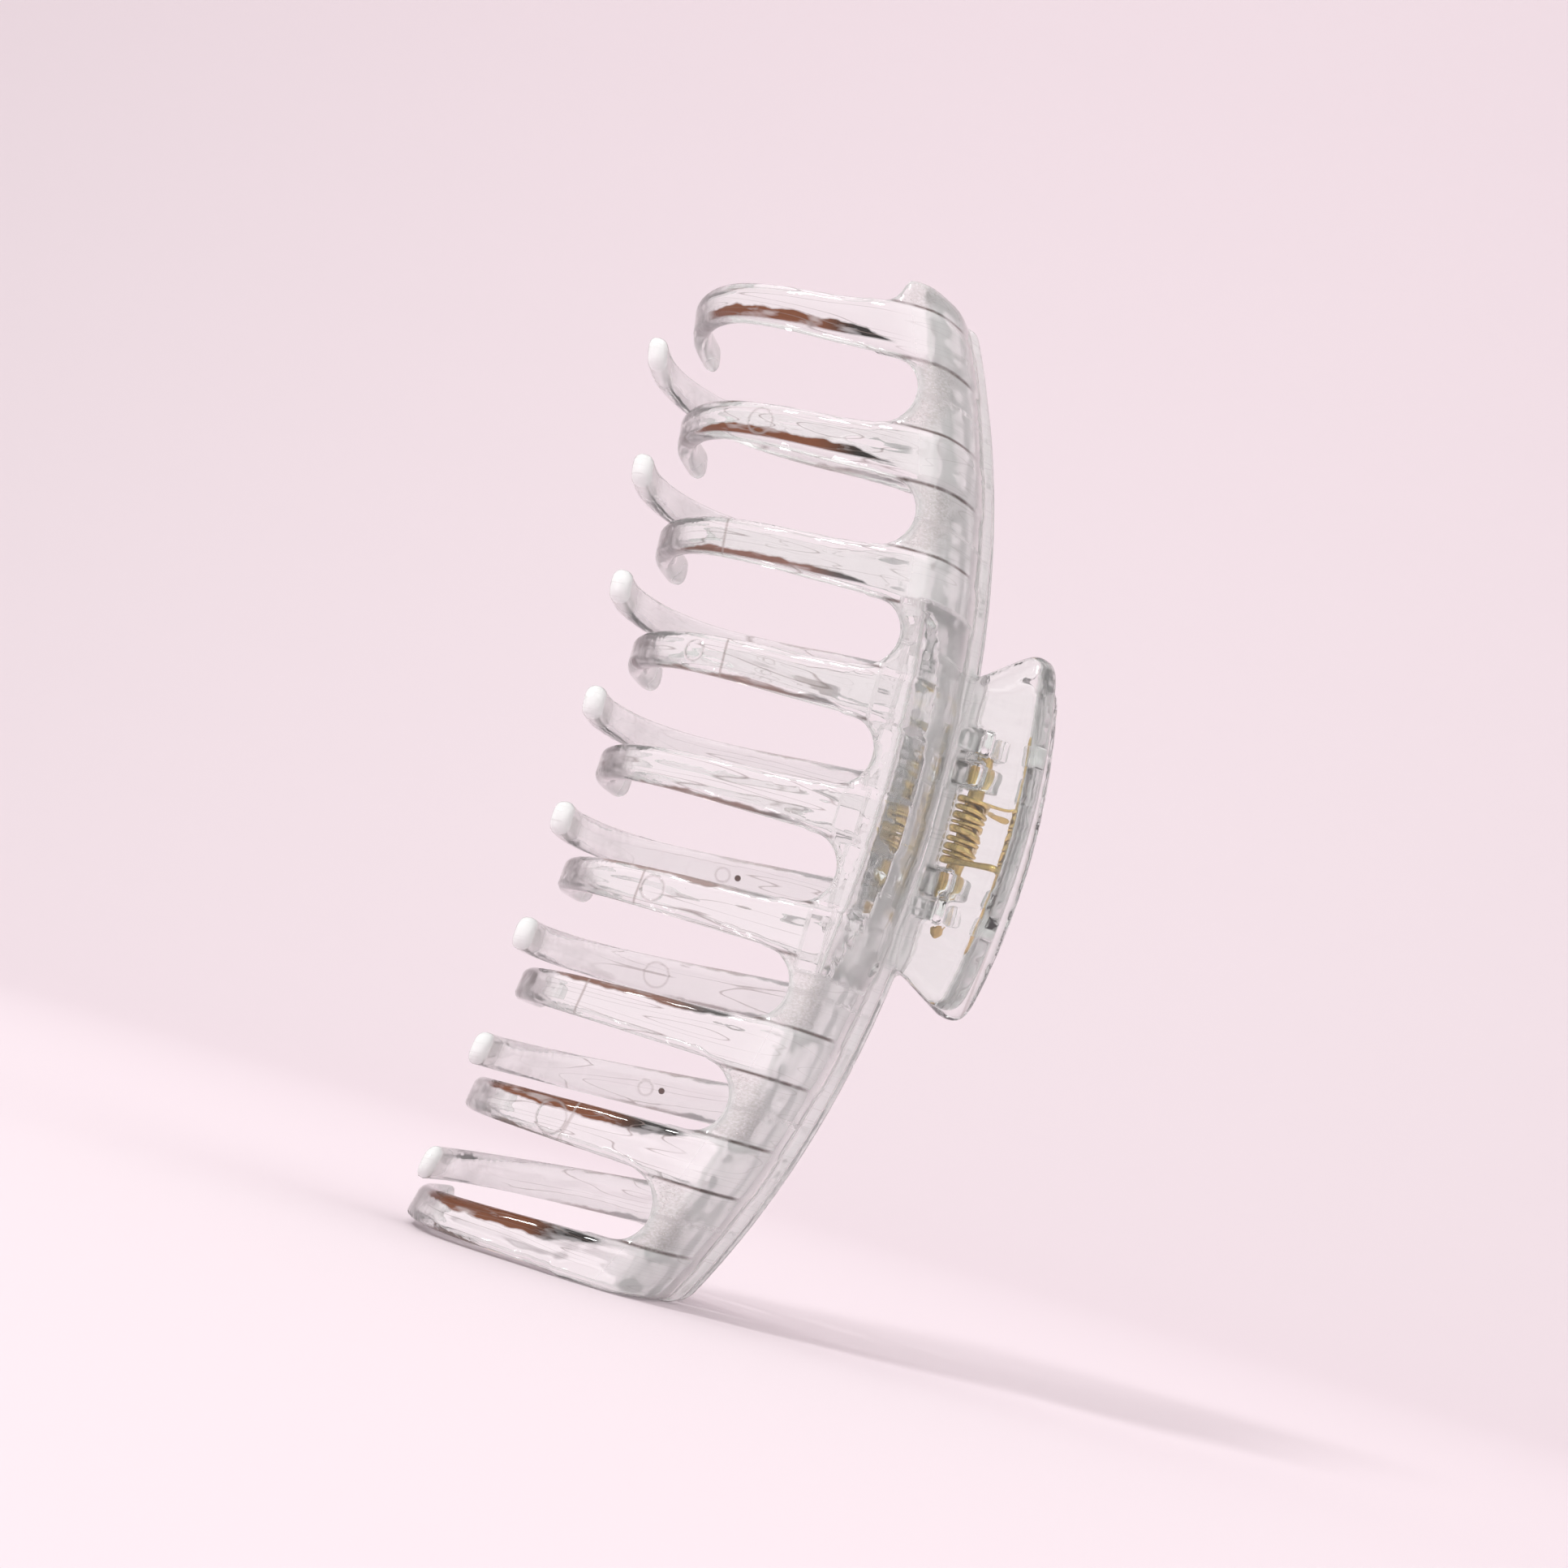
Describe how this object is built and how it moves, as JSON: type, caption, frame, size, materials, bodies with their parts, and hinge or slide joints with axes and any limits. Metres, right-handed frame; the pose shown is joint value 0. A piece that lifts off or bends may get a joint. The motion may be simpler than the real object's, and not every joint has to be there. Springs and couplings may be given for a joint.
{
  "type": "claw clip",
  "caption": "Large clear-plastic claw clip for hair: two hooked, toothed jaws on a sprung hinge pin, opened by squeezing a pair of splayed finger handles.",
  "frame": {"origin": "middle of the clip's bounding box on its lower end, Z = 0 at the lowest tooth's lower side", "axes": "+Z along the clip's length and the hinge pin; -X towards the tooth tips, +X towards the finger handles; the jaws open along Y, front jaw on -Y"},
  "size_m": [0.055, 0.034, 0.109],
  "materials": {
    "clear_plastic": "clear colourless injection-moulded plastic, glossy",
    "gold_pin": "gold-coloured plated steel, lightly worn",
    "gold_wire": "gold-coloured plated spring wire"
  },
  "bodies": {
    "front": {"front_jaw": "clear_plastic", "hinge_pin": "gold_pin", "spring": "gold_wire"},
    "rear": {"rear_jaw": "clear_plastic"}
  },
  "joints": [
    {"name": "jaw_hinge", "type": "hinge", "parent": "front", "child": "rear", "pos_m": [0.02074, 0, 0.05607], "axis": [0, 0, -1], "range_deg": [0, 70], "stiffness_Nm_per_rad": 0.05, "springref_deg": -57.3, "deforming": ["spring"]}
  ]
}
